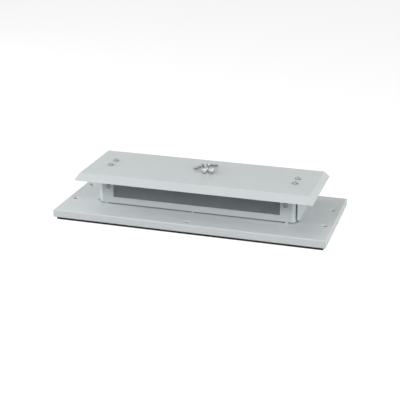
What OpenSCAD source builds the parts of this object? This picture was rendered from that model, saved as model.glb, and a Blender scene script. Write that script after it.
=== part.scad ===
// Raised, ventilated top plate for a floor-standing enclosure.
// A folded base plate closes the enclosure's roof. Two vent panels with mesh windows stand on it
// round an air opening, and a folded hood on two end brackets keeps rain and drips off them.
// The origin is at the middle of the seal's underside, X runs along the width, and the front faces -Y.

/* [Base plate] */
// Width of the base plate, left to right
plate_w = 800; // [740:10:1000]
// Depth of the base plate, front to back
plate_d = 350; // [310:5:500]
// Height of the folded rim, over the sheet
rim_h = 23.5; // [15:0.5:40]
// Sheet thickness of the base plate
base_t = 2; // [1.5:0.25:3]
// Outside radius of the base plate's folds
base_bend = 3.5; // [3.25:0.25:6]
// Width of the lip turned in under the rim
rim_lip = 34; // [31:1:45]

/* [Seal] */
// Height of the foam seal under the lip
seal_t = 7.5; // [4:0.5:15]
// Width of the foam seal
seal_w = 10; // [6:0.5:10.5]
// Distance of the seal from the rim's outer face
seal_inset = 7; // [4:0.5:7.5]

/* [Fixing holes] */
// Radius of the fixing holes
fix_r = 5; // [3.5:0.25:6.5]
// Distance of the end holes from the plate's ends
fix_end = 23.5; // [20:0.5:28]
// Distance of the end holes from the plate's front and rear edges
fix_side = 111.5; // [80:0.5:140]
// Distance of the front and rear holes from the plate's edges
fix_edge = 23.5; // [20:0.5:28]
// Radius of the dimple pressed round each hole
dimple_r = 9.5; // [8:0.5:10.5]
// Depth of the dimple
dimple_deep = 2.5; // [1:0.25:3]

/* [Air opening] */
// Height of the collar turned up round the air opening
collar_h = 12; // [6:1:14]
// Distance of the collar's ends from the vent panels' ends
collar_end = 20; // [18:1:30]
// Gap between the studs' ends and the collar
collar_gap = 3; // [2:0.5:10]
// Radius between the base plate and its collar
collar_bend = 2; // [1:0.5:4]
// Length of the open corner at each end of a collar flap
collar_open = 4; // [2:0.5:10]

/* [Vent panels] */
// Distance of the vent panels' ends from the plate's ends
duct_end = 116; // [90:1:130]
// Distance of the vent panels' faces from the plate's front and rear edges
duct_side = 97; // [80:0.5:105]
// Sheet thickness of the vent panels
vent_t = 1.5; // [1:0.25:2]
// Outside radius of the vent panels' folds
vent_bend = 3; // [2.25:0.25:5]
// Height of the drain gap under a vent panel
drain_gap = 3; // [2:0.5:6]
// Width of the two outer feet of a vent panel
foot_w = 8; // [5:1:15]
// Distance of the outer feet from the panel's ends
foot_inset = 14; // [10:0.5:30]
// Width of the middle foot of a vent panel
mid_foot_w = 5; // [4:1:15]
// Offset of the middle foot from the panel's middle
mid_foot_x = -6; // [-20:1:20]
// Depth of the fold along the top of a vent panel
top_fold = 20; // [10:1:30]
// Gap between the two panels' folded ends
seam = 1; // [0.5:0.25:3]
// Gap between a vent panel's top and what covers it
cover_gap = 0.5; // [0.25:0.25:2]

/* [Windows] */
// Height of a window
window_h = 58; // [40:1:80]
// Height of the window's lower edge over the base plate
window_sill = 21.5; // [20:0.5:24]

/* [Mesh and filter] */
// Thickness of the mesh sheet
mesh_t = 1; // [0.75:0.25:2]
// Overlap of the mesh behind the window's edges
mesh_lap = 6; // [4:0.5:6.5]
// Openings of the mesh along the window
mesh_cols = 40; // [10:1:40]
// Openings of the mesh up the window
mesh_rows = 3; // [1:1:3]
// Width of the bars between the openings
mesh_bar = 1.5; // [1:0.25:3]
// Thickness of the filter mat
mat_t = 8; // [4:0.5:10]
// Thickness of the clamping frame
frame_t = 1.5; // [1:0.25:2]
// Width of the clamping frame's border
frame_border = 12.5; // [10:0.5:16]
// Distance of the studs above and below the window
stud_off = 10.5; // [10.5:0.5:14]
// Distance of the outer studs from the window's sides
stud_end = 50; // [20:5:100]
// Radius of the studs' thread
stud_r = 2; // [1.5:0.25:2.5]
// Radius of the studs' shoulder
stud_shoulder_r = 3.5; // [3:0.25:4]
// Radius of the frame's ears
ear_r = 6; // [5:0.5:7]
// Gap between the frame's ears and the panel's top fold
ear_gap = 0.5; // [0.5:0.5:4]

/* [End brackets] */
// Sheet thickness of the end brackets
bracket_t = 2; // [1.5:0.25:3]
// Outside radius of the brackets' folds
bracket_bend = 3.5; // [3.25:0.25:6]
// Gap between a vent panel's end and the bracket's web
web_gap = 13.5; // [8:0.5:20]
// Reach of the foot from the web's outer face
foot_out = 10; // [7:0.5:20]
// Distance of the foot's ends from the vent panels' faces
foot_cut = 20; // [8:0.5:30]
// Gap that the weld projections leave under the foot
foot_gap = 1; // [0.5:0.25:1.25]
// Radius of the weld projections
weld_r = 2; // [1:0.25:2.5]
// Height of the notch in the web beside the foot
notch_h = 9; // [6.5:0.5:14]
// Width of the tabs turned down from the ledge
tab_w = 16; // [14:0.5:20]
// Reach of the tabs below the panel screws
tab_reach = 13; // [8:0.5:20]
// Gap between the tabs and the mesh
tab_gap = 1.5; // [0.5:0.5:5]
// Radius of the two small holes in the web
web_hole_r = 3.5; // [2:0.25:4]
// Distance between the two small holes
web_hole_span = 21; // [12:1:40]
// Height of the two small holes over the base plate
web_hole_z = 31; // [20:1:60]

/* [Hood] */
// Overhang of the hood's flat top past the end brackets
hood_over_x = 39; // [20:0.5:60]
// Overhang of the hood's flat top past the vent panels
hood_over_y = 33; // [15:0.5:45]
// Sheet thickness of the hood
hood_t = 1.5; // [1:0.25:2]
// Drop of the hood's sloping sides
hood_drop = 20.5; // [15:0.5:35]
// Outward run of the sides at the left and right
hood_run_x = 13; // [6:1:25]
// Outward run of the sides at the front and rear
hood_run_y = 19; // [10:1:30]
// Outside radius of the hood's folds
hood_bend = 3.5; // [2.5:0.5:6]

/* [Screws] */
// Thread radius of the hood and panel screws
screw_r = 3; // [2.5:0.25:3]
// Length of the hood screws
hood_screw_len = 14; // [12:1:20]
// Length of the panel screws
vent_screw_len = 12; // [10:1:16]
// Radius of the screw heads
head_r = 7.5; // [6.5:0.25:8]
// Height of the screw heads
head_h = 4.5; // [3:0.25:5]
// Size across flats of the screws' hexagon sockets
socket_af = 4; // [3:0.5:5]
// Distance of the hood screws from the bracket's outer face
hood_screw_set = 21; // [20.5:0.5:25]
// Distance between the two hood screws at each end
hood_screw_span = 42; // [30:2:80]
// Distance of the panel screws from the panel's ends
vent_screw_set = 18.5; // [15:0.5:30]
// Height of the panel screws over the windows' middle
vent_screw_up = 2.5; // [0:0.5:5]
// Radius of the sealing washers
washer_r = 9; // [8:0.25:10]
// Thickness of the sealing washers
washer_t = 1.6; // [1:0.1:3]
// Radius of the press nuts' bodies
nut_r = 5.5; // [5:0.25:6]
// Height of the press nuts' bodies
nut_h = 5; // [3:0.5:6]
// Radius of the press nuts' spigots
spigot_r = 4.2; // [3.8:0.1:4.5]

/* [Loose fixing screws] */
// Thread radius of the fixing screws
bolt_r = 4; // [3:0.5:4.5]
// Length of the fixing screws
bolt_len = 30; // [25:1:40]
// Radius of the fixing screws' heads
bolt_head_r = 8; // [7:0.25:9]
// Height of the fixing screws' heads
bolt_head_h = 5; // [4:0.25:6]
// Size across flats of the fixing screws' sockets
bolt_af = 5; // [4:0.5:6]

/* [Fits] */
// Radial play between a screw and a plain hole
hole_play = 0.5; // [0.25:0.25:1]
// Radial play between a screw and its thread
thread_play = 0.05; // [0.02:0.01:0.1]

/* [Hidden] */

$fn = 48;
eps = 0.5;
lap = 0.2;
powder_grey = [0.80, 0.82, 0.82];
mesh_grey = [0.42, 0.44, 0.45];
foam_black = [0.13, 0.13, 0.14];
mat_grey = [0.30, 0.32, 0.33];
zinc = [0.72, 0.73, 0.74];

plate_top = seal_t + rim_h;
plate_x = plate_w / 2;
plate_y = plate_d / 2;
fix_x = plate_x - fix_end;
fix_y = plate_y - fix_edge;
fix_span = plate_d - 2 * fix_side;
duct_x = plate_x - duct_end;
duct_y = plate_y - duct_side;
duct_w = 2 * duct_x;
duct_d = 2 * duct_y;
face_in = duct_y - vent_t;
vent_screw_x = duct_x - vent_screw_set;
ledge_in = vent_screw_x - tab_w / 2;
mesh_x = ledge_in - tab_gap;
window_w = 2 * (mesh_x - mesh_lap);
window_top = window_sill + window_h;
vent_screw_z = window_sill + window_h / 2 + vent_screw_up;
mesh_low = window_sill - mesh_lap;
mesh_high = window_top + mesh_lap;
stud_rows = [window_sill - stud_off, window_top + stud_off];
stud_cols = [stud_end - window_w / 2, 0, window_w / 2 - stud_end];
vent_top = window_top + stud_off + ear_r + ear_gap + vent_t;
hood_under = vent_top + cover_gap;
hood_rise = hood_under + hood_t;
return_top = hood_under - bracket_t - cover_gap;
web_in = duct_x + web_gap;
web_out = web_in + bracket_t;
hood_w = 2 * (web_out + hood_over_x);
hood_d = 2 * (duct_y + hood_over_y);
hood_screw_x = web_out - hood_screw_set;
mat_front = face_in - mesh_t;
frame_front = mat_front - mat_t;
frame_back = frame_front - frame_t;
frame_nut_r = stud_r * 2;
frame_nut_h = stud_r * 1.6;
stud_tip = frame_back - frame_nut_h - stud_r;
collar_x = duct_x - collar_end;
collar_y = stud_tip - collar_gap;
head_rim = 1;
socket_deep = 2.5;
tip_cut = 0.8;
fold_steps = 6;
// Where the loose screws lie on the hood: x, y of the head and the heading of the shank
loose = [[-9, 31, 226], [8, -15, 88], [28.5, -10, 92], [6, 42, 44]];

// Lays a profile drawn in X and Z along Y
module along_y(length) {
    rotate([90, 0, 0]) linear_extrude(height = length, center = true) children();
}

// Lays a profile drawn in Y and Z along X
module along_x(length) {
    rotate([90, 0, 90]) linear_extrude(height = length, center = true) children();
}

// A quarter disc with a short leg at each end
module knee_disc(r) {
    circle(r = r);
    translate([0, -lap]) square([r, lap]);
    translate([-lap, 0]) square([lap, r]);
}

// A quarter of a fold, with short legs that run into the flat sheet on both sides
module fold(outer, sheet, flip_x = 0, flip_y = 0) {
    mirror([flip_x, 0]) mirror([0, flip_y]) intersection() {
        difference() {
            knee_disc(outer);
            knee_disc(outer - sheet);
        }
        translate([-lap, -lap]) square(outer + 2 * lap);
    }
}

// A rectangle with round corners, centred
module round_rect(w, d, r) {
    square([w, d - 2 * r], center = true);
    square([w - 2 * r, d], center = true);
    for (sx = [-1, 1], sy = [-1, 1])
        translate([sx * (w / 2 - r), sy * (d / 2 - r)]) circle(r = r);
}

// The base plate's block, set in by a skin, with its top at zero before the skin
module pan_block(skin) {
    intersection() {
        translate([0, 0, -rim_h / 2]) along_y(plate_d - 2 * skin)
            round_rect(plate_w - 2 * skin, rim_h - 2 * skin, base_bend - skin);
        translate([0, 0, -rim_h / 2]) along_x(plate_w - 2 * skin)
            round_rect(plate_d - 2 * skin, rim_h - 2 * skin, base_bend - skin);
    }
}

// Outline of a sheet with two sides folded down to a slope, set in by a skin and open below
module hood_outline(half, run, skin) {
    slope = sqrt(run * run + hood_drop * hood_drop);
    turn = atan2(hood_drop, run);
    knee = [half - hood_bend * (slope - run) / hood_drop, -hood_bend];
    foot_z = -hood_drop - skin;
    foot_x = half - run * foot_z / hood_drop - skin * slope / hood_drop;
    arc = [for (i = [0 : fold_steps]) let (a = turn * i / fold_steps)
        knee + (hood_bend - skin) * [sin(a), cos(a)]];
    right = concat(arc, [[foot_x, foot_z]]);
    left = [for (i = [len(right) - 1 : -1 : 0]) [-right[i][0], right[i][1]]];
    polygon(concat(right, left));
}

// The hood's block, set in by a skin
module hood_block(skin) {
    intersection() {
        along_y(hood_d + 4 * hood_run_y) hood_outline(hood_w / 2, hood_run_x, skin);
        along_x(hood_w + 4 * hood_run_x) hood_outline(hood_d / 2, hood_run_y, skin);
    }
}

// Puts children at the six fixing holes
module at_fixings() {
    for (sx = [-1, 1], sy = [-1, 1]) translate([sx * fix_x, sy * fix_span / 2, 0]) children();
    for (sy = [-1, 1]) translate([0, sy * fix_y, 0]) children();
}

// One flap of the collar along X, with its foot in the plate and its outer face at zero
module collar_flap(length) {
    along_x(length) {
        translate([0, collar_bend]) square([base_t, collar_h - collar_bend]);
        translate([-collar_bend, collar_bend]) fold(collar_bend + base_t, base_t, 0, 1);
    }
}

module base_plate() {
    open_x = collar_x + collar_bend;
    open_y = collar_y + collar_bend;
    flap_x = 2 * (collar_x - base_t - collar_open);
    flap_y = 2 * (collar_y - base_t - collar_open);
    mouth_x = plate_x - rim_lip;
    mouth_y = plate_y - rim_lip;
    land = base_t / 2;
    color(powder_grey) translate([0, 0, plate_top]) {
        difference() {
            union() {
                difference() {
                    pan_block(0);
                    pan_block(base_t);
                    translate([-mouth_x, -mouth_y, -rim_h - eps]) cube([2 * mouth_x, 2 * mouth_y, base_t + 2 * eps]);
                }
                at_fixings() translate([0, 0, -base_t - dimple_deep])
                    cylinder(h = dimple_deep + land, r1 = fix_r + land, r2 = dimple_r + land);
            }
            translate([-open_x, -open_y, -base_t - eps]) cube([2 * open_x, 2 * open_y, base_t + 2 * eps]);
            at_fixings() {
                translate([0, 0, -dimple_deep]) cylinder(h = dimple_deep, r1 = fix_r, r2 = dimple_r);
                translate([0, 0, -rim_h - eps]) cylinder(h = rim_h, r = fix_r);
            }
        }
        for (turn = [0, 180]) rotate([0, 0, turn]) {
            translate([0, -collar_y, 0]) collar_flap(flap_x);
            rotate([0, 0, 90]) translate([0, -collar_x, 0]) collar_flap(flap_y);
        }
    }
}

module base_seal() {
    seal_x = plate_w - 2 * seal_inset;
    seal_y = plate_d - 2 * seal_inset;
    color(foam_black) linear_extrude(height = seal_t) difference() {
        square([seal_x, seal_y], center = true);
        square([seal_x - 2 * seal_w, seal_y - 2 * seal_w], center = true);
        at_fixings() circle(r = fix_r);
    }
}

// The bracket at the right end, with the base plate's top at zero
module end_bracket() {
    knee = bracket_bend;
    ledge_y = face_in - knee;
    tab_low = vent_screw_z - tab_reach;
    weld_x = (web_in + knee + web_out + foot_out) / 2;
    weld_y = duct_y - foot_cut - 4 * weld_r;
    color(powder_grey) difference() {
        union() {
            along_y(duct_d) translate([web_in, notch_h]) square([bracket_t, hood_under - knee - notch_h]);
            translate([0, 0, foot_gap]) along_y(duct_d - 2 * foot_cut) {
                translate([web_in, knee]) square([bracket_t, notch_h - foot_gap - knee + eps]);
                translate([web_in + knee, knee]) fold(knee, bracket_t, 1, 1);
                translate([web_in + knee, 0]) square([foot_out + bracket_t - knee, bracket_t]);
            }
            for (y = [-weld_y, 0, weld_y]) translate([weld_x, y, 0]) cylinder(h = foot_gap + eps, r = weld_r);
            along_y(2 * ledge_y) {
                translate([web_out - knee, hood_under - knee]) fold(knee, bracket_t);
                translate([ledge_in, hood_under - bracket_t]) square([web_out - ledge_in - knee, bracket_t]);
            }
            translate([vent_screw_x, 0, 0]) along_x(tab_w) for (side = [0, 1]) mirror([side, 0]) {
                translate([ledge_y, hood_under - knee]) fold(knee, bracket_t);
                translate([face_in - bracket_t, tab_low]) square([bracket_t, hood_under - knee - tab_low]);
            }
        }
        for (sy = [-1, 1]) {
            translate([hood_screw_x, sy * hood_screw_span / 2, hood_under - bracket_t - eps])
                cylinder(h = bracket_t + 2 * eps, r = spigot_r);
            translate([vent_screw_x, sy * (face_in + eps), vent_screw_z]) rotate([sy * 90, 0, 0])
                cylinder(h = bracket_t + 2 * eps, r = spigot_r);
            translate([web_in - eps, sy * web_hole_span / 2, web_hole_z]) rotate([0, 90, 0])
                cylinder(h = bracket_t + 2 * eps, r = web_hole_r);
        }
    }
}

module right_end_bracket() {
    translate([0, 0, plate_top]) end_bracket();
}

module left_end_bracket() {
    translate([0, 0, plate_top]) mirror([1, 0, 0]) end_bracket();
}

// The panel at the front, with the base plate's top at zero
module vent_panel() {
    top_x = ledge_in - bracket_t;
    bend_z = vent_top - vent_bend;
    notch_y = hood_screw_span / 2 + nut_r + bracket_t;
    color(powder_grey) difference() {
        union() {
            difference() {
                translate([0, 0, drain_gap]) linear_extrude(height = return_top - drain_gap) difference() {
                    round_rect(duct_w, duct_d, vent_bend);
                    round_rect(duct_w - 2 * vent_t, duct_d - 2 * vent_t, vent_bend - vent_t);
                }
                translate([-duct_x - eps, -seam / 2, 0]) cube([duct_w + 2 * eps, duct_d, hood_rise]);
                translate([-top_x, -duct_y - eps, bend_z]) cube([2 * top_x, 2 * vent_bend, hood_rise]);
                for (side = [-1, 1])
                    translate([side * duct_x - vent_bend, -notch_y, return_top - 2 * nut_h])
                        cube([2 * vent_bend, notch_y, hood_rise]);
            }
            along_x(2 * top_x) {
                translate([vent_bend - duct_y, bend_z]) fold(vent_bend, vent_t, 1, 0);
                translate([vent_bend - duct_y, vent_top - vent_t]) square([top_fold - vent_bend, vent_t]);
            }
            for (side = [-1, 1])
                translate([side * (duct_x - foot_inset) - foot_w / 2, -duct_y, 0])
                    cube([foot_w, vent_t, drain_gap + eps]);
            translate([mid_foot_x - mid_foot_w / 2, -duct_y, 0]) cube([mid_foot_w, vent_t, drain_gap + eps]);
            for (x = stud_cols, z = stud_rows) translate([x, 0, z]) {
                translate([0, -frame_front, 0]) rotate([90, 0, 0])
                    cylinder(h = mesh_t + mat_t + eps, r = stud_shoulder_r);
                translate([0, -stud_tip, 0]) rotate([90, 0, 0]) cylinder(h = face_in - stud_tip + eps, r = stud_r);
            }
        }
        translate([-window_w / 2, -duct_y - eps, window_sill]) cube([window_w, vent_t + 2 * eps, window_h]);
        for (side = [-1, 1]) translate([side * vent_screw_x, -face_in + eps, vent_screw_z])
            rotate([90, 0, 0]) cylinder(h = vent_t + 2 * eps, r = screw_r + hole_play);
    }
}

// The mesh sheet behind the front window
module mesh_sheet() {
    pitch_x = (window_w + mesh_bar) / mesh_cols;
    pitch_z = (window_h + mesh_bar) / mesh_rows;
    color(mesh_grey) difference() {
        translate([-mesh_x, -face_in, mesh_low]) cube([2 * mesh_x, mesh_t, mesh_high - mesh_low]);
        for (col = [0 : mesh_cols - 1], row = [0 : mesh_rows - 1])
            translate([col * pitch_x - window_w / 2, -face_in - eps, window_sill + row * pitch_z])
                cube([pitch_x - mesh_bar, mesh_t + 2 * eps, pitch_z - mesh_bar]);
    }
}

module filter_mat() {
    color(mat_grey) translate([-mesh_x, -mat_front, mesh_low]) cube([2 * mesh_x, mat_t, mesh_high - mesh_low]);
}

// The frame that clamps the mesh and the mat against the panel
module clamp_frame() {
    hole_x = mesh_x - frame_border;
    color(powder_grey) translate([0, -frame_back, 0]) rotate([90, 0, 0]) linear_extrude(height = frame_t)
        difference() {
            union() {
                translate([-mesh_x, mesh_low]) square([2 * mesh_x, mesh_high - mesh_low]);
                for (x = stud_cols, z = stud_rows) {
                    middle = window_sill + window_h / 2;
                    reach = abs(z - middle);
                    translate([x, z]) circle(r = ear_r);
                    translate([x - ear_r, min(z, middle)]) square([2 * ear_r, reach]);
                }
            }
            translate([-hole_x, mesh_low + frame_border])
                square([2 * hole_x, mesh_high - mesh_low - 2 * frame_border]);
            for (x = stud_cols, z = stud_rows) translate([x, z]) circle(r = stud_r + hole_play);
        }
}

module frame_nuts() {
    color(zinc) for (x = stud_cols, z = stud_rows) translate([x, -frame_back, z]) rotate([-90, 0, 0])
        difference() {
            cylinder(h = frame_nut_h, r = frame_nut_r, $fn = 6);
            translate([0, 0, -eps]) cylinder(h = frame_nut_h + 2 * eps, r = stud_r + thread_play);
        }
}

// A pan-head screw with a hexagon socket, its head standing on zero and its shank below
module pan_screw(thread_r, length, dome_r, dome_h, flats) {
    ball = (dome_r * dome_r + pow(dome_h - head_rim, 2)) / (2 * (dome_h - head_rim));
    color(zinc) difference() {
        union() {
            rotate_extrude() intersection() {
                square([dome_r, dome_h]);
                translate([0, dome_h - ball]) circle(r = ball, $fn = 120);
            }
            translate([0, 0, tip_cut - length]) cylinder(h = length - tip_cut + eps, r = thread_r);
            translate([0, 0, -length]) cylinder(h = tip_cut, r1 = thread_r - tip_cut, r2 = thread_r);
        }
        translate([0, 0, dome_h - socket_deep]) cylinder(h = socket_deep + eps, r = flats / sqrt(3), $fn = 6);
    }
}

// A press nut with its spigot in a sheet, the sheet's far side at zero and the body below
module press_nut(sheet) {
    color(zinc) difference() {
        union() {
            translate([0, 0, -sheet]) cylinder(h = sheet, r = spigot_r);
            translate([0, 0, -sheet - nut_h]) cylinder(h = nut_h, r = nut_r);
        }
        translate([0, 0, -sheet - nut_h - eps])
            cylinder(h = sheet + nut_h + 2 * eps, r = screw_r + thread_play);
    }
}

// Puts children at the front panel's two screws, with +Z pointing out of the panel's inner face
module at_panel_screws() {
    for (side = [-1, 1]) translate([side * vent_screw_x, -face_in, vent_screw_z])
        rotate([90, 0, 0]) children();
}

// Puts children at the four hood screws, at a height over the base plate
module at_hood_screws(height) {
    for (sx = [-1, 1], sy = [-1, 1])
        translate([sx * hood_screw_x, sy * hood_screw_span / 2, plate_top + height]) children();
}

// Puts a piece of the front panel in its place, at the front or turned to the rear
module at_side(turn) {
    translate([0, 0, plate_top]) rotate([0, 0, turn]) children();
}

module hood() {
    color(powder_grey) difference() {
        translate([0, 0, plate_top + hood_rise]) difference() {
            hood_block(0);
            hood_block(hood_t);
        }
        at_hood_screws(hood_under - eps) cylinder(h = hood_t + 2 * eps, r = screw_r + hole_play);
    }
}

module hood_washers() {
    color(zinc) at_hood_screws(hood_rise) difference() {
        cylinder(h = washer_t, r = washer_r);
        translate([0, 0, -eps]) cylinder(h = washer_t + 2 * eps, r = screw_r + hole_play);
    }
}

// The fixing screws, each lying on its head's rim and the end of its shank
module fixing_screws() {
    droop = atan((bolt_head_r - bolt_r) / (bolt_len - tip_cut));
    lift = bolt_head_r * cos(droop);
    for (place = loose)
        translate([place[0], place[1], plate_top + hood_rise + lift]) rotate([0, droop - 90, place[2]])
            pan_screw(bolt_r, bolt_len, bolt_head_r, bolt_head_h, bolt_af);
}

base_plate();
base_seal();
left_end_bracket();
right_end_bracket();
at_side(0) vent_panel();  // front_vent_panel
at_side(180) vent_panel();  // rear_vent_panel
at_side(0) mesh_sheet();  // front_mesh
at_side(180) mesh_sheet();  // rear_mesh
at_side(0) filter_mat();  // front_filter_mat
at_side(180) filter_mat();  // rear_filter_mat
at_side(0) clamp_frame();  // front_clamp_frame
at_side(180) clamp_frame();  // rear_clamp_frame
at_side(0) frame_nuts();  // front_frame_nuts
at_side(180) frame_nuts();  // rear_frame_nuts
at_side(0) at_panel_screws()  // front_panel_screws
    translate([0, 0, vent_t]) pan_screw(screw_r, vent_screw_len, head_r, head_h, socket_af);
at_side(180) at_panel_screws()  // rear_panel_screws
    translate([0, 0, vent_t]) pan_screw(screw_r, vent_screw_len, head_r, head_h, socket_af);
at_side(0) at_panel_screws() press_nut(bracket_t);  // front_panel_nuts
at_side(180) at_panel_screws() press_nut(bracket_t);  // rear_panel_nuts
hood();
at_hood_screws(hood_rise + washer_t)  // hood_screws
    pan_screw(screw_r, hood_screw_len, head_r, head_h, socket_af);
hood_washers();
at_hood_screws(hood_under) press_nut(bracket_t);  // hood_nuts
fixing_screws();
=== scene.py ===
import math

import bmesh
import bpy
from mathutils import Matrix, Vector, noise


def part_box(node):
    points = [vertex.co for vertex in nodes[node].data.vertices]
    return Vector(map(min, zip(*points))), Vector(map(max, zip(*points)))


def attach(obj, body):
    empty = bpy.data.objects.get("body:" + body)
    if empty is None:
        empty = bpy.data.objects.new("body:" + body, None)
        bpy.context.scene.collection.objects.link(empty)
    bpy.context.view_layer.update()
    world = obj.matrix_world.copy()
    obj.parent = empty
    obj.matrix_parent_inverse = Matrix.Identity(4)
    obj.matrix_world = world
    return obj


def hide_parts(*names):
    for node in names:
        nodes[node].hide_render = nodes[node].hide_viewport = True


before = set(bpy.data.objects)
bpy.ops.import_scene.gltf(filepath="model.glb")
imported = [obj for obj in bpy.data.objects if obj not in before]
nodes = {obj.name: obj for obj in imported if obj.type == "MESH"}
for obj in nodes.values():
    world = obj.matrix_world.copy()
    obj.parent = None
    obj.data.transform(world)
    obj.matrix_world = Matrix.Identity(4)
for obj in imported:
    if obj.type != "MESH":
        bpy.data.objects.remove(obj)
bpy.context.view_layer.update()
MM = 0.001


# Base plate: steel sheet folded down into a rim with a lip, with six dimpled fixing holes and
# a collar turned up round the air opening. It is finished in light grey powder coat, as are
# all the folded parts that stand on it, so the coat's fine orange peel is made here.
def input_value(node, socket, value):
    node.inputs[socket].default_value = value


def group_socket(group, name, direction, kind):
    return group.interface.new_socket(name=name, in_out=direction, socket_type=kind)


# How fine the patches and the grain are broken up, and between which levels their noise lies
PATCH_DETAIL = 3.0
GRAIN_DETAIL = 2.0
NOISE_LOW = 0.3
NOISE_HIGH = 0.7


def make_mottle_group():
    group = bpy.data.node_groups.new("surface_mottle", "ShaderNodeTree")
    group_socket(group, "Colour", "INPUT", "NodeSocketColor")
    group_socket(group, "Patch Size", "INPUT", "NodeSocketFloat")
    group_socket(group, "Patch Depth", "INPUT", "NodeSocketFloat")
    group_socket(group, "Roughness Low", "INPUT", "NodeSocketFloat")
    group_socket(group, "Roughness High", "INPUT", "NodeSocketFloat")
    group_socket(group, "Grain Size", "INPUT", "NodeSocketFloat")
    group_socket(group, "Colour", "OUTPUT", "NodeSocketColor")
    group_socket(group, "Roughness", "OUTPUT", "NodeSocketFloat")
    group_socket(group, "Height", "OUTPUT", "NodeSocketFloat")
    add = group.nodes.new
    link = group.links.new
    given = add("NodeGroupInput")
    result = add("NodeGroupOutput")
    place = add("ShaderNodeTexCoord")
    patches = add("ShaderNodeTexNoise")
    input_value(patches, "Detail", PATCH_DETAIL)
    grain = add("ShaderNodeTexNoise")
    input_value(grain, "Detail", GRAIN_DETAIL)
    shade = add("ShaderNodeMapRange")
    lift = add("ShaderNodeMath")
    lift.operation = "SUBTRACT"
    input_value(lift, 0, 1.0)
    tint = add("ShaderNodeVectorMath")
    tint.operation = "SCALE"
    gloss = add("ShaderNodeMapRange")
    link(place.outputs["Object"], patches.inputs["Vector"])
    link(place.outputs["Object"], grain.inputs["Vector"])
    link(given.outputs["Patch Size"], patches.inputs["Scale"])
    link(given.outputs["Grain Size"], grain.inputs["Scale"])
    link(given.outputs["Patch Depth"], lift.inputs[1])
    link(patches.outputs["Fac"], shade.inputs["Value"])
    input_value(shade, "From Min", NOISE_LOW)
    input_value(shade, "From Max", NOISE_HIGH)
    link(lift.outputs[0], shade.inputs["To Min"])
    link(given.outputs["Colour"], tint.inputs[0])
    link(shade.outputs["Result"], tint.inputs["Scale"])
    link(tint.outputs["Vector"], result.inputs["Colour"])
    link(grain.outputs["Fac"], gloss.inputs["Value"])
    input_value(gloss, "From Min", NOISE_LOW)
    input_value(gloss, "From Max", NOISE_HIGH)
    link(given.outputs["Roughness Low"], gloss.inputs["To Min"])
    link(given.outputs["Roughness High"], gloss.inputs["To Max"])
    link(gloss.outputs["Result"], result.inputs["Roughness"])
    link(grain.outputs["Fac"], result.inputs["Height"])
    return group


surface_mottle = make_mottle_group()


def make_finish(name, colour, patch, depth, gloss, grain, bump, metallic=0.0):
    # Patch and grain are noise scales, in cells per metre, and bump is the height of the grain
    material = bpy.data.materials.new(name)
    material.use_nodes = True
    tree = material.node_tree
    shader = tree.nodes["Principled BSDF"]
    mottle = tree.nodes.new("ShaderNodeGroup")
    mottle.node_tree = surface_mottle
    relief = tree.nodes.new("ShaderNodeBump")
    input_value(mottle, "Colour", (*colour, 1.0))
    input_value(mottle, "Patch Size", patch)
    input_value(mottle, "Patch Depth", depth)
    input_value(mottle, "Roughness Low", gloss[0])
    input_value(mottle, "Roughness High", gloss[1])
    input_value(mottle, "Grain Size", grain)
    input_value(relief, "Distance", bump)
    input_value(relief, "Strength", 1.0)
    input_value(shader, "Metallic", metallic)
    tree.links.new(mottle.outputs["Colour"], shader.inputs["Base Color"])
    tree.links.new(mottle.outputs["Roughness"], shader.inputs["Roughness"])
    tree.links.new(mottle.outputs["Height"], relief.inputs["Height"])
    tree.links.new(relief.outputs["Normal"], shader.inputs["Normal"])
    return material


COAT_GREY = (0.535, 0.572, 0.580)
powder_coat = make_finish(
    "powder_coat", COAT_GREY, patch=6.0, depth=0.03, gloss=(0.30, 0.38), grain=900.0, bump=0.04 * MM
)


def paint(name, material):
    mesh = nodes[name].data
    mesh.materials.clear()
    mesh.materials.append(material)


paint("base_plate", powder_coat)

# End brackets: folded sheet, welded to the base plate by an outward foot. A ledge at the top
# carries the hood and two tabs turned down from it hold the vent panels. Both ends use the same
# bracket, turned round, and its web reaches further forward on the right than on the left.
WEB_T = 2.0 * MM
FOOT_OUT = 10.0 * MM
# Reach of the web from its middle, below the shoulder at each end, and the shoulder's height
WEB_LONG = 72.0 * MM
WEB_SHORT = 58.0 * MM
WEB_SHOULDER = 118.0 * MM
X_AXIS, Y_AXIS, Z_AXIS = range(3)
# Points closer together than this are one point, and points this near to a cut lie on it
SAME_PLACE = 0.01 * MM
ON_CUT = 0.001 * MM
FLAT_WITHIN = math.radians(1)
FOLD_SHARP = math.radians(25)


def new_piece(name, bm, material, smooth=True):
    mesh = bpy.data.meshes.new(name)
    bm.to_mesh(mesh)
    bm.free()
    piece = bpy.data.objects.new(name, mesh)
    bpy.context.scene.collection.objects.link(piece)
    mesh.materials.append(material)
    if smooth:
        mesh.shade_smooth()
    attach(piece, "root")
    return piece


def merged_copy(node):
    bm = bmesh.new()
    bm.from_mesh(nodes[node].data)
    bmesh.ops.remove_doubles(bm, verts=bm.verts, dist=SAME_PLACE)
    return bm


def folded_piece(name, bm, node):
    bmesh.ops.recalc_face_normals(bm, faces=bm.faces)
    piece = new_piece(name, bm, powder_coat)
    piece.data.set_sharp_from_angle(angle=FOLD_SHARP)
    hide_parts(node)


def lies_at(edge, axis, level):
    return all(abs(v.co[axis] - level) < SAME_PLACE for v in edge.verts)


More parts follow.
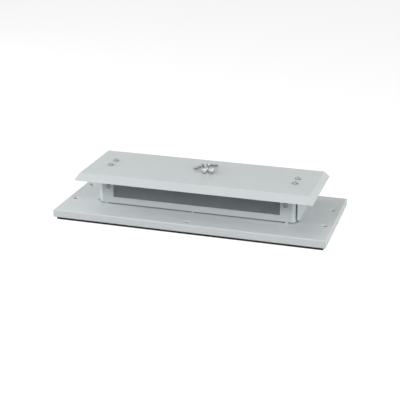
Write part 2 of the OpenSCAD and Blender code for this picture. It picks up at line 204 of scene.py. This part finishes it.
def cut_back(bm, side, inner, end, reach):
    # Takes off the web's corner under the shoulder, past its reach towards one end
    for axis, level in ((Y_AXIS, end * reach), (Z_AXIS, WEB_SHOULDER)):
        cut = Vector((0, 0, 0))
        cut[axis] = level
        facing = Vector((0, 0, 0))
        facing[axis] = 1
        geom = bm.verts[:] + bm.edges[:] + bm.faces[:]
        bmesh.ops.bisect_plane(bm, geom=geom, dist=ON_CUT, plane_co=cut, plane_no=facing)
    spare = []
    for face in bm.faces:
        middle = face.calc_center_median()
        on_web = side * middle.x > inner - SAME_PLACE
        if on_web and end * middle.y > reach and middle.z < WEB_SHOULDER:
            spare.append(face)
    bmesh.ops.delete(bm, geom=spare, context="FACES")
    rim = [e for e in bm.edges if e.is_boundary]
    upright = [e for e in rim if lies_at(e, Y_AXIS, end * reach)]
    level = [e for e in rim if lies_at(e, Z_AXIS, WEB_SHOULDER)]
    corner = {v for e in upright for v in e.verts} & {v for e in level for v in e.verts}
    fold = bmesh.ops.contextual_create(bm, geom=list(corner))["edges"]
    bmesh.ops.contextual_create(bm, geom=upright + fold)
    bmesh.ops.contextual_create(bm, geom=level + fold)


def end_bracket(name, node, side):
    low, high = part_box(node)
    inner = max(abs(low.x), abs(high.x)) - FOOT_OUT - WEB_T
    bm = merged_copy(node)
    bmesh.ops.dissolve_limit(bm, angle_limit=FLAT_WITHIN, verts=bm.verts, edges=bm.edges)
    cut_back(bm, side, inner, -side, WEB_LONG)
    cut_back(bm, side, inner, side, WEB_SHORT)
    folded_piece(name, bm, node)


end_bracket("left_bracket", "left_end_bracket", -1)
end_bracket("right_bracket", "right_end_bracket", 1)

# Vent panels: folded sheet with a long window, standing on three small feet, with its ends turned
# back in a wide bend close to the brackets. The studs that hold the mesh and the filter are
# welded to the inner face and coated with it.
SMALL_BEND = 3.0 * MM
WIDE_BEND = 14.0 * MM
END_REACH = 11.3 * MM


def vent_panel(name, node, facing):
    # The ends move outwards, and the points of each bend go to the wider one
    low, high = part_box(node)
    old = Vector((high.x - SMALL_BEND, max(abs(low.y), abs(high.y)) - SMALL_BEND))
    new = old + Vector((END_REACH + SMALL_BEND - WIDE_BEND, SMALL_BEND - WIDE_BEND))
    bm = merged_copy(node)
    for v in bm.verts:
        side = math.copysign(1, v.co.x)
        spot = Vector((abs(v.co.x), facing * v.co.y)) - old
        if spot.x < -SAME_PLACE:
            continue
        if spot.y < -SAME_PLACE:
            v.co.x += side * END_REACH
        else:
            skin = SMALL_BEND - spot.length
            place = new + spot.normalized() * (WIDE_BEND - skin)
            v.co.x = side * place.x
            v.co.y = facing * place.y
    folded_piece(name, bm, node)


vent_panel("front_panel", "front_vent_panel", -1)
vent_panel("rear_panel", "rear_vent_panel", 1)

# Clamping frames: flat sheet rings with ears for the studs, coated like the vent panels. They are
# pushed over the studs behind the filter mats and held by nuts.
paint("front_clamp_frame", powder_coat)
paint("rear_clamp_frame", powder_coat)

# Hood: one folded sheet with four sloping sides, welded and ground at the mitred corners. It lies
# on the brackets' ledges and is coated like them.
paint("hood", powder_coat)

# Window mesh: woven steel wire behind each window, in plain weave, every wire crimped over
# and under its neighbours. It is clamped between the vent panel and the filter mat.
WIRE_R = 0.25 * MM
WIRE_PITCH = 2.5 * MM
WIRE_SIDES = 6
WIRE_GREY = (0.60, 0.65, 0.67)
wire_steel = make_finish(
    "wire_steel", WIRE_GREY, patch=80.0, depth=0.15, gloss=(0.35, 0.5), grain=4000.0, bump=0.01 * MM,
    metallic=0.8
)


def add_wires(bm, along, across, steps, count, middle):
    # One straight wire, then a crimped copy for every place across the sheet
    straight = bmesh.new()
    ring = bmesh.ops.create_circle(straight, segments=WIRE_SIDES, radius=WIRE_R)["verts"]
    loop = list({e for v in ring for e in v.link_edges})
    step_up = (0, 0, WIRE_PITCH)
    bmesh.ops.spin(
        straight, geom=ring + loop, cent=(0, 0, 0), axis=(0, 0, 1), dvec=step_up, angle=0, steps=steps
    )
    bmesh.ops.holes_fill(straight, edges=straight.edges[:], sides=WIRE_SIDES)
    strand = bpy.data.meshes.new("strand")
    straight.to_mesh(strand)
    straight.free()
    facing = along.cross(across)
    for i in range(count):
        first = len(bm.verts)
        bm.from_mesh(strand)
        bm.verts.ensure_lookup_table()
        shift = (i - (count - 1) / 2) * WIRE_PITCH
        for v in bm.verts[first:]:
            step = round(v.co.z / WIRE_PITCH)
            side = 1 if (step + i) % 2 else -1
            depth = facing * (v.co.x + side * WIRE_R)
            v.co = middle + depth + across * (v.co.y + shift) + along * (v.co.z - steps * WIRE_PITCH / 2)
    bpy.data.meshes.remove(strand)


def woven_mesh(name, node):
    low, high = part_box(node)
    size = high - low
    middle = (low + high) / 2
    cols = int(size.x / WIRE_PITCH)
    rows = int(size.z / WIRE_PITCH)
    right = Vector((1, 0, 0))
    up = Vector((0, 0, 1))
    bm = bmesh.new()
    add_wires(bm, up, right, rows, cols + 1, middle)
    add_wires(bm, right, up, cols, rows + 1, middle)
    bmesh.ops.recalc_face_normals(bm, faces=bm.faces[:])
    piece = new_piece(name, bm, wire_steel)
    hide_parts(node)


woven_mesh("front_window_mesh", "front_mesh")
woven_mesh("rear_window_mesh", "rear_mesh")

# Filter mats: blocks of needled synthetic fibre, 8 mm thick, cut to the mesh's size and pressed
# against it from inside by the clamping frame. Their faces are uneven and their edges soft.
MAT_STEP = 4 * MM
MAT_EDGE = 1.6 * MM
MAT_LUMP = 9 * MM
MAT_DIP = 0.5 * MM
SQUARE_EDGE = math.radians(60)
NOISE_GAIN = 1.5
MAT_GREY = (0.078, 0.089, 0.093)
mat_fibre = make_finish(
    "mat_fibre", MAT_GREY, patch=60.0, depth=0.4, gloss=(0.9, 1.0), grain=1600.0, bump=0.6 * MM
)


def unevenness(point, size, depth):
    # Between nothing and the full depth
    level = max(-1.0, min(1.0, NOISE_GAIN * noise.noise(point / size)))
    return depth * (0.5 + 0.5 * level)


def fibre_mat(name, node):
    low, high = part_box(node)
    size = high - low
    middle = (low + high) / 2
    bm = bmesh.new()
    bmesh.ops.create_cube(bm, size=1.0)
    bmesh.ops.scale(bm, verts=bm.verts, vec=size)
    for axis in (X_AXIS, Z_AXIS):
        for i in range(1, round(size[axis] / MAT_STEP)):
            cut = Vector((0, 0, 0))
            cut[axis] = i * MAT_STEP - size[axis] / 2
            side = Vector((0, 0, 0))
            side[axis] = 1
            geom = bm.verts[:] + bm.edges[:] + bm.faces[:]
            bmesh.ops.bisect_plane(bm, geom=geom, plane_co=cut, plane_no=side)
    rims = [e for e in bm.edges if len(e.link_faces) == 2 and e.calc_face_angle() > SQUARE_EDGE]
    bmesh.ops.bevel(
        bm, geom=rims, offset=MAT_EDGE, offset_type="OFFSET", affect="EDGES", segments=3,
        profile=0.5, material=-1
    )
    bmesh.ops.recalc_face_normals(bm, faces=bm.faces)
    bm.normal_update()
    for v in bm.verts:
        v.co -= v.normal * unevenness(v.co, MAT_LUMP, MAT_DIP)
    bmesh.ops.translate(bm, verts=bm.verts, vec=middle)
    piece = new_piece(name, bm, mat_fibre)
    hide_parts(node)


fibre_mat("front_fibre_mat", "front_filter_mat")
fibre_mat("rear_fibre_mat", "rear_filter_mat")

# Seal: a ring of black closed-cell foam strip stuck under the rim's lip, so that the plate seals
# on the enclosure. Its cut edges are slightly round and its cells show as fine pits.
SEAL_VOXEL = 1.6 * MM
SEAL_FLAT_WITHIN = math.radians(2)
SEAL_BLACK = (0.022, 0.022, 0.024)
seal_foam = make_finish(
    "seal_foam", SEAL_BLACK, patch=40.0, depth=0.3, gloss=(0.8, 0.95), grain=1800.0, bump=0.3 * MM
)
bm = merged_copy("base_seal")
bmesh.ops.dissolve_limit(bm, angle_limit=SEAL_FLAT_WITHIN, verts=bm.verts, edges=bm.edges)
foam_strip = new_piece("foam_strip", bm, seal_foam, smooth=False)
cells = foam_strip.modifiers.new("cells", "REMESH")
cells.mode = "VOXEL"
cells.voxel_size = SEAL_VOXEL
cells.use_smooth_shade = True
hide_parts("base_seal")

# Screws: zinc-plated steel pan-head screws with a hexagon socket and a rolled thread. Two at
# each end hold the hood, two hold each vent panel, and four longer ones lie loose on the hood.
ROUND = 48
HEAD_RIM = 1.0 * MM
DOME_STEPS = 8
# The first is how many times as wide as its corners the socket's mouth is, and the second the
# share of its width to which the cone of its drilled bottom narrows
SOCKET_MOUTH = 1.08
CONE_TIP = 0.02
MOUTH_DEEP = 0.15 * MM
SOCKET_DEEP = 3.0 * MM
CONE_DEEP = 0.5 * MM
HEXAGON_STEP = math.radians(60)
# The head's underside starts inside the thread, at this share of its radius
NECK_SHARE = 0.9
TIP_CUT = 0.8 * MM
EDGE_SOFT = 0.25 * MM
TURNED_SHARP = math.radians(35)
THREAD_STEPS = 24
# A thread's depth, and where its tooth rises and falls, as shares of its pitch
THREAD_DEPTH = 0.61
TOOTH_RISE = (0.15, 0.47)
TOOTH_FALL = (0.60, 0.92)
# One zinc plating in two copies whose colours differ only by painted light. The darker copy is painted
# shade and goes on the fixed screws, washers and press nuts. The lighter copy is painted light and goes
# on the loose screws, whose heads face the lamps, and on the stud nuts.
SHADED_ZINC_GREY = (0.40, 0.41, 0.42)
LIT_ZINC_GREY = (0.53, 0.54, 0.55)
zinc_shaded_copy = make_finish(
    "zinc_shaded_copy", SHADED_ZINC_GREY, patch=120.0, depth=0.2, gloss=(0.45, 0.62), grain=1500.0, bump=0.02 * MM,
    metallic=1.0
)
zinc_lit_copy = make_finish(
    "zinc_lit_copy", LIT_ZINC_GREY, patch=120.0, depth=0.15, gloss=(0.42, 0.58), grain=1500.0,
    bump=0.02 * MM, metallic=1.0
)


def turned(bm, outline):
    # An outline of (radius, height) points, turned round Z
    line = [bm.verts.new((r, 0, z)) for r, z in outline]
    edges = [bm.edges.new(pair) for pair in zip(line, line[1:])]
    bmesh.ops.spin(
        bm, geom=line + edges, cent=(0, 0, 0), axis=(0, 0, 1), angle=2 * math.pi, steps=ROUND,
        use_merge=True
    )


def threaded_rod(bm, radius, pitch, low, high):
    # One tooth of the thread, wound up past both ends and then cut off flat
    root = radius - THREAD_DEPTH * pitch
    turns = math.ceil((high - low) / pitch) + 2
    tooth = [(root, 0.0), (root, TOOTH_RISE[0]), (radius, TOOTH_RISE[1])]
    tooth += [(radius, TOOTH_FALL[0]), (root, TOOTH_FALL[1]), (root, 1.0)]
    line = [bm.verts.new((r, 0, share * pitch + low - pitch)) for r, share in tooth]
    edges = [bm.edges.new(pair) for pair in zip(line, line[1:])]
    climb = (0, 0, pitch / THREAD_STEPS)
    bmesh.ops.spin(
        bm, geom=line + edges, cent=(0, 0, 0), axis=(0, 0, 1), dvec=climb, angle=2 * math.pi * turns,
        steps=THREAD_STEPS * turns
    )
    bmesh.ops.remove_doubles(bm, verts=bm.verts, dist=SAME_PLACE)
    for height, side in ((low, -1), (high, 1)):
        geom = bm.verts[:] + bm.edges[:] + bm.faces[:]
        bmesh.ops.bisect_plane(
            bm, geom=geom, dist=ON_CUT, plane_co=(0, 0, height), plane_no=(0, 0, side),
            clear_outer=True
        )


def hold_within(verts, limit):
    # Draws in every point that stands out further than limit(point) from Z
    for v in verts:
        flat = Vector((v.co.x, v.co.y, 0))
        reach = limit(v.co)
        if flat.length > reach:
            flat.length = reach
            v.co = Vector((flat.x, flat.y, v.co.z))


def hexagon_reach(point, flats):
    # Distance from Z to a hexagon's side, with a corner on X
    turn = math.atan2(point.y, point.x) % HEXAGON_STEP - HEXAGON_STEP / 2
    return flats / 2 / math.cos(turn)


def close_ends(bm):
    bmesh.ops.holes_fill(bm, edges=[e for e in bm.edges if e.is_boundary], sides=0)


def finished_shape(bm, name):
    bmesh.ops.recalc_face_normals(bm, faces=bm.faces)
    shape = bpy.data.meshes.new(name)
    bm.to_mesh(shape)
    bm.free()
    return shape


def screw(name, thread_r, pitch, length, head_r, head_h, flats):
    # The head stands on zero and the shank hangs below it
    bm = bmesh.new()
    threaded_rod(bm, thread_r, pitch, -length, -pitch / 2)
    hold_within(bm.verts, lambda point: thread_r - TIP_CUT + point.z + length)
    close_ends(bm)
    ball = (head_r ** 2 + (head_h - HEAD_RIM) ** 2) / (2 * (head_h - HEAD_RIM))
    corner = flats / math.sqrt(3)
    mouth = SOCKET_MOUTH * corner
    edge = head_r - EDGE_SOFT / 2
    dome = []
    for i in range(DOME_STEPS + 1):
        r = edge + (mouth - edge) * i / DOME_STEPS
        dome.append((r, head_h - ball + math.sqrt(ball ** 2 - r ** 2)))
    under = [(thread_r * NECK_SHARE, 0.0), (head_r - EDGE_SOFT, 0.0)]
    rim = [(head_r, EDGE_SOFT), (head_r, HEAD_RIM - EDGE_SOFT / 2)]
    turned(bm, under + rim + dome)
    top = dome[-1][1]
    ring = [v for v in bm.verts if abs(v.co.z - top) < ON_CUT and v.is_boundary]
    ring_edges = [e for e in bm.edges if e.is_boundary and e.verts[0] in ring and e.verts[1] in ring]
    hexagon = bmesh.ops.create_circle(bm, segments=ROUND, radius=corner)["verts"]
    hold_within(hexagon, lambda point: hexagon_reach(point, flats))
    bmesh.ops.translate(bm, verts=hexagon, vec=(0, 0, top - MOUTH_DEEP))
    sides = list({e for v in hexagon for e in v.link_edges})
    bmesh.ops.bridge_loops(bm, edges=ring_edges + sides)
    wall = bmesh.ops.extrude_edge_only(bm, edges=sides)["geom"]
    floor_ring = [g for g in wall if isinstance(g, bmesh.types.BMVert)]
    bmesh.ops.translate(bm, verts=floor_ring, vec=(0, 0, head_h - SOCKET_DEEP - top + MOUTH_DEEP))
    floor_edges = [g for g in wall if isinstance(g, bmesh.types.BMEdge)]
    cone = bmesh.ops.extrude_edge_only(bm, edges=floor_edges)["geom"]
    point = [g for g in cone if isinstance(g, bmesh.types.BMVert)]
    bmesh.ops.scale(bm, verts=point, vec=(CONE_TIP, CONE_TIP, 1))
    bmesh.ops.translate(bm, verts=point, vec=(0, 0, -CONE_DEEP))
    close_ends(bm)
    return finished_shape(bm, name)


def gathered(name, shape, places, material, node):
    # Copies of one shape at several places, as one piece
    bm = bmesh.new()
    for place in places:
        first = len(bm.verts)
        bm.from_mesh(shape)
        bm.verts.ensure_lookup_table()
        bmesh.ops.transform(bm, matrix=place, verts=bm.verts[first:])
    piece = new_piece(name, bm, material)
    piece.data.set_sharp_from_angle(angle=TURNED_SHARP)
    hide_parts(node)


def corner_seats(x, y, z):
    return [Matrix.Translation((sx * x, sy * y, z)) for sx in (-1, 1) for sy in (-1, 1)]


def pair_of_seats(x, y, z, turn):
    return [Matrix.Translation((sx * x, y, z)) @ turn for sx in (-1, 1)]


QUARTER_TURN = math.radians(90)
facing_front = Matrix.Rotation(QUARTER_TURN, 4, "X")
facing_rear = Matrix.Rotation(-QUARTER_TURN, 4, "X")
HOOD_SCREW_LEN = 14.0 * MM
PANEL_SCREW_LEN = 12.0 * MM
HEAD_R = 7.5 * MM
HEAD_H = 4.5 * MM
THREAD_R = 3.0 * MM
THREAD_PITCH = 1.0 * MM
SOCKET_AF = 4.0 * MM
hood_screw = screw("hood_screw", THREAD_R, THREAD_PITCH, HOOD_SCREW_LEN, HEAD_R, HEAD_H, SOCKET_AF)
screws_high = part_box("hood_screws")[1]
hood_screw_x = screws_high.x - HEAD_R
hood_screw_y = screws_high.y - HEAD_R
head_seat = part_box("hood_washers")[1].z
seats = corner_seats(hood_screw_x, hood_screw_y, head_seat)
gathered("hood_fasteners", hood_screw, seats, zinc_shaded_copy, "hood_screws")

panel_screw = screw("panel_screw", THREAD_R, THREAD_PITCH, PANEL_SCREW_LEN, HEAD_R, HEAD_H, SOCKET_AF)
screws_low, screws_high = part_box("front_panel_screws")
panel_screw_x = screws_high.x - HEAD_R
panel_screw_z = (screws_low.z + screws_high.z) / 2
panel_face_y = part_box("front_vent_panel")[0].y
front_seats = pair_of_seats(panel_screw_x, panel_face_y, panel_screw_z, facing_front)
rear_seats = pair_of_seats(panel_screw_x, -panel_face_y, panel_screw_z, facing_rear)
gathered("front_panel_fasteners", panel_screw, front_seats, zinc_shaded_copy, "front_panel_screws")
gathered("rear_panel_fasteners", panel_screw, rear_seats, zinc_shaded_copy, "rear_panel_screws")

BOLT_HEAD_R = 8.0 * MM
BOLT_HEAD_H = 5.0 * MM
BOLT_R = 4.0 * MM
BOLT_PITCH = 1.25 * MM
BOLT_LEN = 30.0 * MM
BOLT_AF = 5.0 * MM
fixing_screw = screw("fixing_screw", BOLT_R, BOLT_PITCH, BOLT_LEN, BOLT_HEAD_R, BOLT_HEAD_H, BOLT_AF)
# Where each loose screw lies: x and y of its head in millimetres, then the heading of its shank
# and its roll in degrees
LOOSE = [(-9, 31, 226, 10), (8, -15, 88, 35), (28.5, -10, 92, 20), (6, 42, 44, 50)]
droop = math.atan((BOLT_HEAD_R - BOLT_R) / (BOLT_LEN - TIP_CUT))
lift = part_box("hood")[1].z + BOLT_HEAD_R * math.cos(droop)
rests = []
for x, y, heading, roll in LOOSE:
    rolled = Matrix.Rotation(math.radians(roll), 4, "Z")
    laid_down = Matrix.Rotation(droop - QUARTER_TURN, 4, "Y")
    headed = Matrix.Rotation(math.radians(heading), 4, "Z")
    rests.append(Matrix.Translation((x * MM, y * MM, lift)) @ (headed @ laid_down) @ rolled)
gathered("loose_fixing_screws", fixing_screw, rests, zinc_lit_copy, "fixing_screws")

# Washers and nuts: zinc-plated steel. A washer lies under each hood screw's head, press nuts are
# squeezed into the brackets' ledges and tabs, and plain hexagon nuts hold the clamping frames.
WASHER_R = 9.0 * MM
WASHER_T = 1.6 * MM
WASHER_HOLE = 3.5 * MM
NUT_R = 5.5 * MM
NUT_H = 5.0 * MM
SPIGOT_R = 4.2 * MM
TAB_T = 2.0 * MM
FRAME_NUT_R = 4.0 * MM
FRAME_NUT_H = 3.2 * MM
STUD_R = 2.0 * MM
STUD_PITCH = 0.7 * MM
# A bore is wider than its screw by the play. Its mouths and grooves are cut deeper by these shares
# of the pitch, and its crests and grooves follow at these places in each turn.
BORE_PLAY = 0.05 * MM
MOUTH_SHARE = 0.4
GROOVE_SHARE = 0.3
CREST_AT = 0.2
GROOVE_AT = 0.7
CHAMFER_STEPS = 3


def threaded_bore(radius, pitch, low, high):
    # The outline of a nut's thread, from its lower mouth to its upper one
    mouth = radius + MOUTH_SHARE * pitch
    groove = radius + GROOVE_SHARE * pitch
    turns = int((high - low - pitch) / pitch)
    start = (low + high - turns * pitch) / 2
    line = [(mouth, low)]
    for i in range(turns):
        line.append((radius, start + (i + CREST_AT) * pitch))
        line.append((groove, start + (i + GROOVE_AT) * pitch))
    line.append((radius, start + turns * pitch))
    line.append((mouth, high))
    return line


def washer(name):
    bm = bmesh.new()
    hole = [(WASHER_HOLE, WASHER_T - EDGE_SOFT), (WASHER_HOLE, EDGE_SOFT)]
    below = [(WASHER_HOLE + EDGE_SOFT, 0.0), (WASHER_R - EDGE_SOFT, 0.0), (WASHER_R, EDGE_SOFT)]
    above = [(r, WASHER_T - z) for r, z in reversed(below)]
    turned(bm, hole + below + above + hole[:1])
    return finished_shape(bm, name)


def press_nut(name):
    # The spigot fills its sheet from zero down, and the body hangs below
    bm = bmesh.new()
    bottom = -TAB_T - NUT_H
    bore = threaded_bore(THREAD_R + BORE_PLAY, THREAD_PITCH, bottom, 0.0)
    spigot = [(SPIGOT_R - EDGE_SOFT, 0.0), (SPIGOT_R, -EDGE_SOFT), (SPIGOT_R, -TAB_T)]
    shoulder = [(NUT_R - EDGE_SOFT, -TAB_T), (NUT_R, -TAB_T - EDGE_SOFT)]
    base = [(NUT_R, bottom + 2 * EDGE_SOFT), (NUT_R - 2 * EDGE_SOFT, bottom)]
    turned(bm, bore + spigot + shoulder + base + bore[:1])
    return finished_shape(bm, name)


def hexagon_nut(name):
    bm = bmesh.new()
    flats = FRAME_NUT_R * math.sqrt(3)
    bore = threaded_bore(STUD_R + BORE_PLAY, STUD_PITCH, 0.0, FRAME_NUT_H)
    rise = FRAME_NUT_R - flats / 2
    slope = []
    for i in range(CHAMFER_STEPS + 1):
        r = FRAME_NUT_R - rise * (CHAMFER_STEPS - i) / CHAMFER_STEPS
        slope.append((r, rise * i / CHAMFER_STEPS / 2))
    outer = slope + [(r, FRAME_NUT_H - z) for r, z in reversed(slope)]
    turned(bm, outer + bore[::-1] + outer[:1])
    hold_within(bm.verts, lambda point: hexagon_reach(point, flats))
    return finished_shape(bm, name)


washer_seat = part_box("hood_washers")[0].z
seats = corner_seats(hood_screw_x, hood_screw_y, washer_seat)
gathered("hood_seat_washers", washer("hood_washer"), seats, zinc_shaded_copy, "hood_washers")
nut = press_nut("press_nut")
ledge_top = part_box("hood_nuts")[1].z
seats = corner_seats(hood_screw_x, hood_screw_y, ledge_top)
gathered("hood_press_nuts", nut, seats, zinc_shaded_copy, "hood_nuts")
tab_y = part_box("front_panel_nuts")[0].y
front_seats = pair_of_seats(panel_screw_x, tab_y, panel_screw_z, facing_front)
rear_seats = pair_of_seats(panel_screw_x, -tab_y, panel_screw_z, facing_rear)
gathered("front_press_nuts", nut, front_seats, zinc_shaded_copy, "front_panel_nuts")
gathered("rear_press_nuts", nut, rear_seats, zinc_shaded_copy, "rear_panel_nuts")
nut = hexagon_nut("stud_nut")
nuts_low, nuts_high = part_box("front_frame_nuts")
stud_x = nuts_high.x - FRAME_NUT_R
half_nut = FRAME_NUT_R * math.sqrt(3) / 2
stud_heights = (nuts_low.z + half_nut, nuts_high.z - half_nut)
stud_places = [(x, z) for x in (-stud_x, 0, stud_x) for z in stud_heights]
front_seats = [Matrix.Translation((x, nuts_low.y, z)) @ facing_rear for x, z in stud_places]
rear_seats = [Matrix.Translation((x, -nuts_low.y, z)) @ facing_front for x, z in stud_places]
gathered("front_stud_nuts", nut, front_seats, zinc_lit_copy, "front_frame_nuts")
gathered("rear_stud_nuts", nut, rear_seats, zinc_lit_copy, "rear_frame_nuts")

# Floor and studio: a pale floor that stays white to the camera apart from a faint shadow, a world
# that is white behind the plate and in its reflections, and five soft lamps round it.
FLOOR_HALF = 6.0
FLOOR_GLOW = 0.85
FLOOR_GREY = (0.8, 0.8, 0.8, 1.0)
SHADOW_GREY = (0.25, 0.25, 0.25, 1.0)
bm = bmesh.new()
bmesh.ops.create_grid(bm, x_segments=1, y_segments=1, size=FLOOR_HALF)
floor_mesh = bpy.data.meshes.new("floor")
bm.to_mesh(floor_mesh)
bm.free()
floor = bpy.data.objects.new("floor", floor_mesh)
bpy.context.scene.collection.objects.link(floor)

floor_paint = bpy.data.materials.new("floor_paint")
floor_paint.use_nodes = True
tree = floor_paint.node_tree
tree.nodes.clear()
matte = tree.nodes.new("ShaderNodeBsdfDiffuse")
input_value(matte, "Color", FLOOR_GREY)
faint = tree.nodes.new("ShaderNodeBsdfDiffuse")
input_value(faint, "Color", SHADOW_GREY)
glow = tree.nodes.new("ShaderNodeEmission")
both = tree.nodes.new("ShaderNodeAddShader")
rays = tree.nodes.new("ShaderNodeLightPath")
choose = tree.nodes.new("ShaderNodeMixShader")
surface = tree.nodes.new("ShaderNodeOutputMaterial")
# The glow stops under the plate, so that its holes stay dark
DARK_X = 0.37
DARK_Y = 0.145
place = tree.nodes.new("ShaderNodeTexCoord")
axes = tree.nodes.new("ShaderNodeSeparateXYZ")
beside = tree.nodes.new("ShaderNodeMath")
beside.operation = "MAXIMUM"
tree.links.new(place.outputs["Object"], axes.inputs[0])
for slot, (axis, half) in enumerate((("X", DARK_X), ("Y", DARK_Y))):
    size = tree.nodes.new("ShaderNodeMath")
    size.operation = "ABSOLUTE"
    outside = tree.nodes.new("ShaderNodeMath")
    outside.operation = "GREATER_THAN"
    input_value(outside, 1, half)
    tree.links.new(axes.outputs[axis], size.inputs[0])
    tree.links.new(size.outputs[0], outside.inputs[0])
    tree.links.new(outside.outputs[0], beside.inputs[slot])
level = tree.nodes.new("ShaderNodeMath")
level.operation = "MULTIPLY"
input_value(level, 1, FLOOR_GLOW)
tree.links.new(beside.outputs[0], level.inputs[0])
tree.links.new(level.outputs[0], glow.inputs["Strength"])
tree.links.new(faint.outputs[0], both.inputs[0])
tree.links.new(glow.outputs[0], both.inputs[1])
tree.links.new(rays.outputs["Is Camera Ray"], choose.inputs[0])
tree.links.new(matte.outputs[0], choose.inputs[1])
tree.links.new(both.outputs[0], choose.inputs[2])
# From below the floor is clear, so that the plate's underside can be seen
clear = tree.nodes.new("ShaderNodeBsdfTransparent")
behind = tree.nodes.new("ShaderNodeNewGeometry")
either = tree.nodes.new("ShaderNodeMixShader")
tree.links.new(behind.outputs["Backfacing"], either.inputs[0])
tree.links.new(choose.outputs[0], either.inputs[1])
tree.links.new(clear.outputs[0], either.inputs[2])
tree.links.new(either.outputs[0], surface.inputs["Surface"])
floor_mesh.materials.append(floor_paint)

WORLD_STRENGTH = 0.2
world = bpy.data.worlds.new("studio")
bpy.context.scene.world = world
world.use_nodes = True
tree = world.node_tree
tree.nodes.clear()
soft = tree.nodes.new("ShaderNodeBackground")
input_value(soft, "Strength", WORLD_STRENGTH)
white = tree.nodes.new("ShaderNodeBackground")
input_value(white, "Color", (1.0, 1.0, 1.0, 1.0))
input_value(white, "Strength", 1.0)
rays = tree.nodes.new("ShaderNodeLightPath")
camera_or_glossy = tree.nodes.new("ShaderNodeMath")
camera_or_glossy.operation = "MAXIMUM"
seen = tree.nodes.new("ShaderNodeMath")
seen.operation = "MAXIMUM"
choose = tree.nodes.new("ShaderNodeMixShader")
surface = tree.nodes.new("ShaderNodeOutputWorld")
tree.links.new(rays.outputs["Is Camera Ray"], camera_or_glossy.inputs[0])
tree.links.new(rays.outputs["Is Glossy Ray"], camera_or_glossy.inputs[1])
tree.links.new(camera_or_glossy.outputs[0], seen.inputs[0])
tree.links.new(rays.outputs["Is Transmission Ray"], seen.inputs[1])
tree.links.new(seen.outputs[0], choose.inputs[0])
tree.links.new(soft.outputs[0], choose.inputs[1])
tree.links.new(white.outputs[0], choose.inputs[2])
tree.links.new(choose.outputs[0], surface.inputs["Surface"])

LAMP_AIM = Vector((0.0, 0.0, 0.08))
LAMP_SIZE = 1.5
TOP_LAMP_SIZE = 2.0


def soft_light(name, place, power, size=LAMP_SIZE, glossy=True):
    # Reflections show only the lamps that are glossy
    data = bpy.data.lights.new(name, "AREA")
    data.shape = "DISK"
    data.size = size
    data.energy = power
    lamp = bpy.data.objects.new(name, data)
    bpy.context.scene.collection.objects.link(lamp)
    lamp.location = place
    lamp.rotation_euler = (LAMP_AIM - Vector(place)).to_track_quat("-Z", "Y").to_euler()
    lamp.visible_glossy = glossy


soft_light("front_left_light", (-2.0, -2.5, 2.2), power=54.0)
soft_light("front_right_light", (2.2, -2.2, 2.2), power=50.0)
soft_light("right_light", (3.0, -0.5, 0.8), power=42.0, glossy=False)
soft_light("left_light", (-3.0, 0.0, 0.8), power=76.0, glossy=False)
soft_light("top_light", (0.0, 0.0, 3.0), power=9.0, size=TOP_LAMP_SIZE)

# Camera: solved from the plate's corners and edges in the photograph. It stands in front of the
# plate, to its right and above it, and is turned very slightly about its line of sight.
CAMERA_PLACE = Vector((0.8167, -2.7324, 1.0939))
CAMERA_AIM = Vector((-0.0077, 0.0, 0.0422))
CAMERA_ROLL = 0.00467
CAMERA_SENSOR = 36.0
CAMERA_LENS = 92.82
CAMERA_FAR = 50.0
camera_data = bpy.data.cameras.new("camera")
camera_data.sensor_width = CAMERA_SENSOR
camera_data.lens = CAMERA_LENS
camera_data.clip_end = CAMERA_FAR
camera = bpy.data.objects.new("camera", camera_data)
bpy.context.scene.collection.objects.link(camera)
turn = (CAMERA_AIM - CAMERA_PLACE).to_track_quat("-Z", "Y").to_matrix().to_4x4()
camera.matrix_world = Matrix.Translation(CAMERA_PLACE) @ turn @ Matrix.Rotation(CAMERA_ROLL, 4, "Z")
bpy.context.scene.camera = camera
bpy.context.scene.view_settings.view_transform = "Standard"
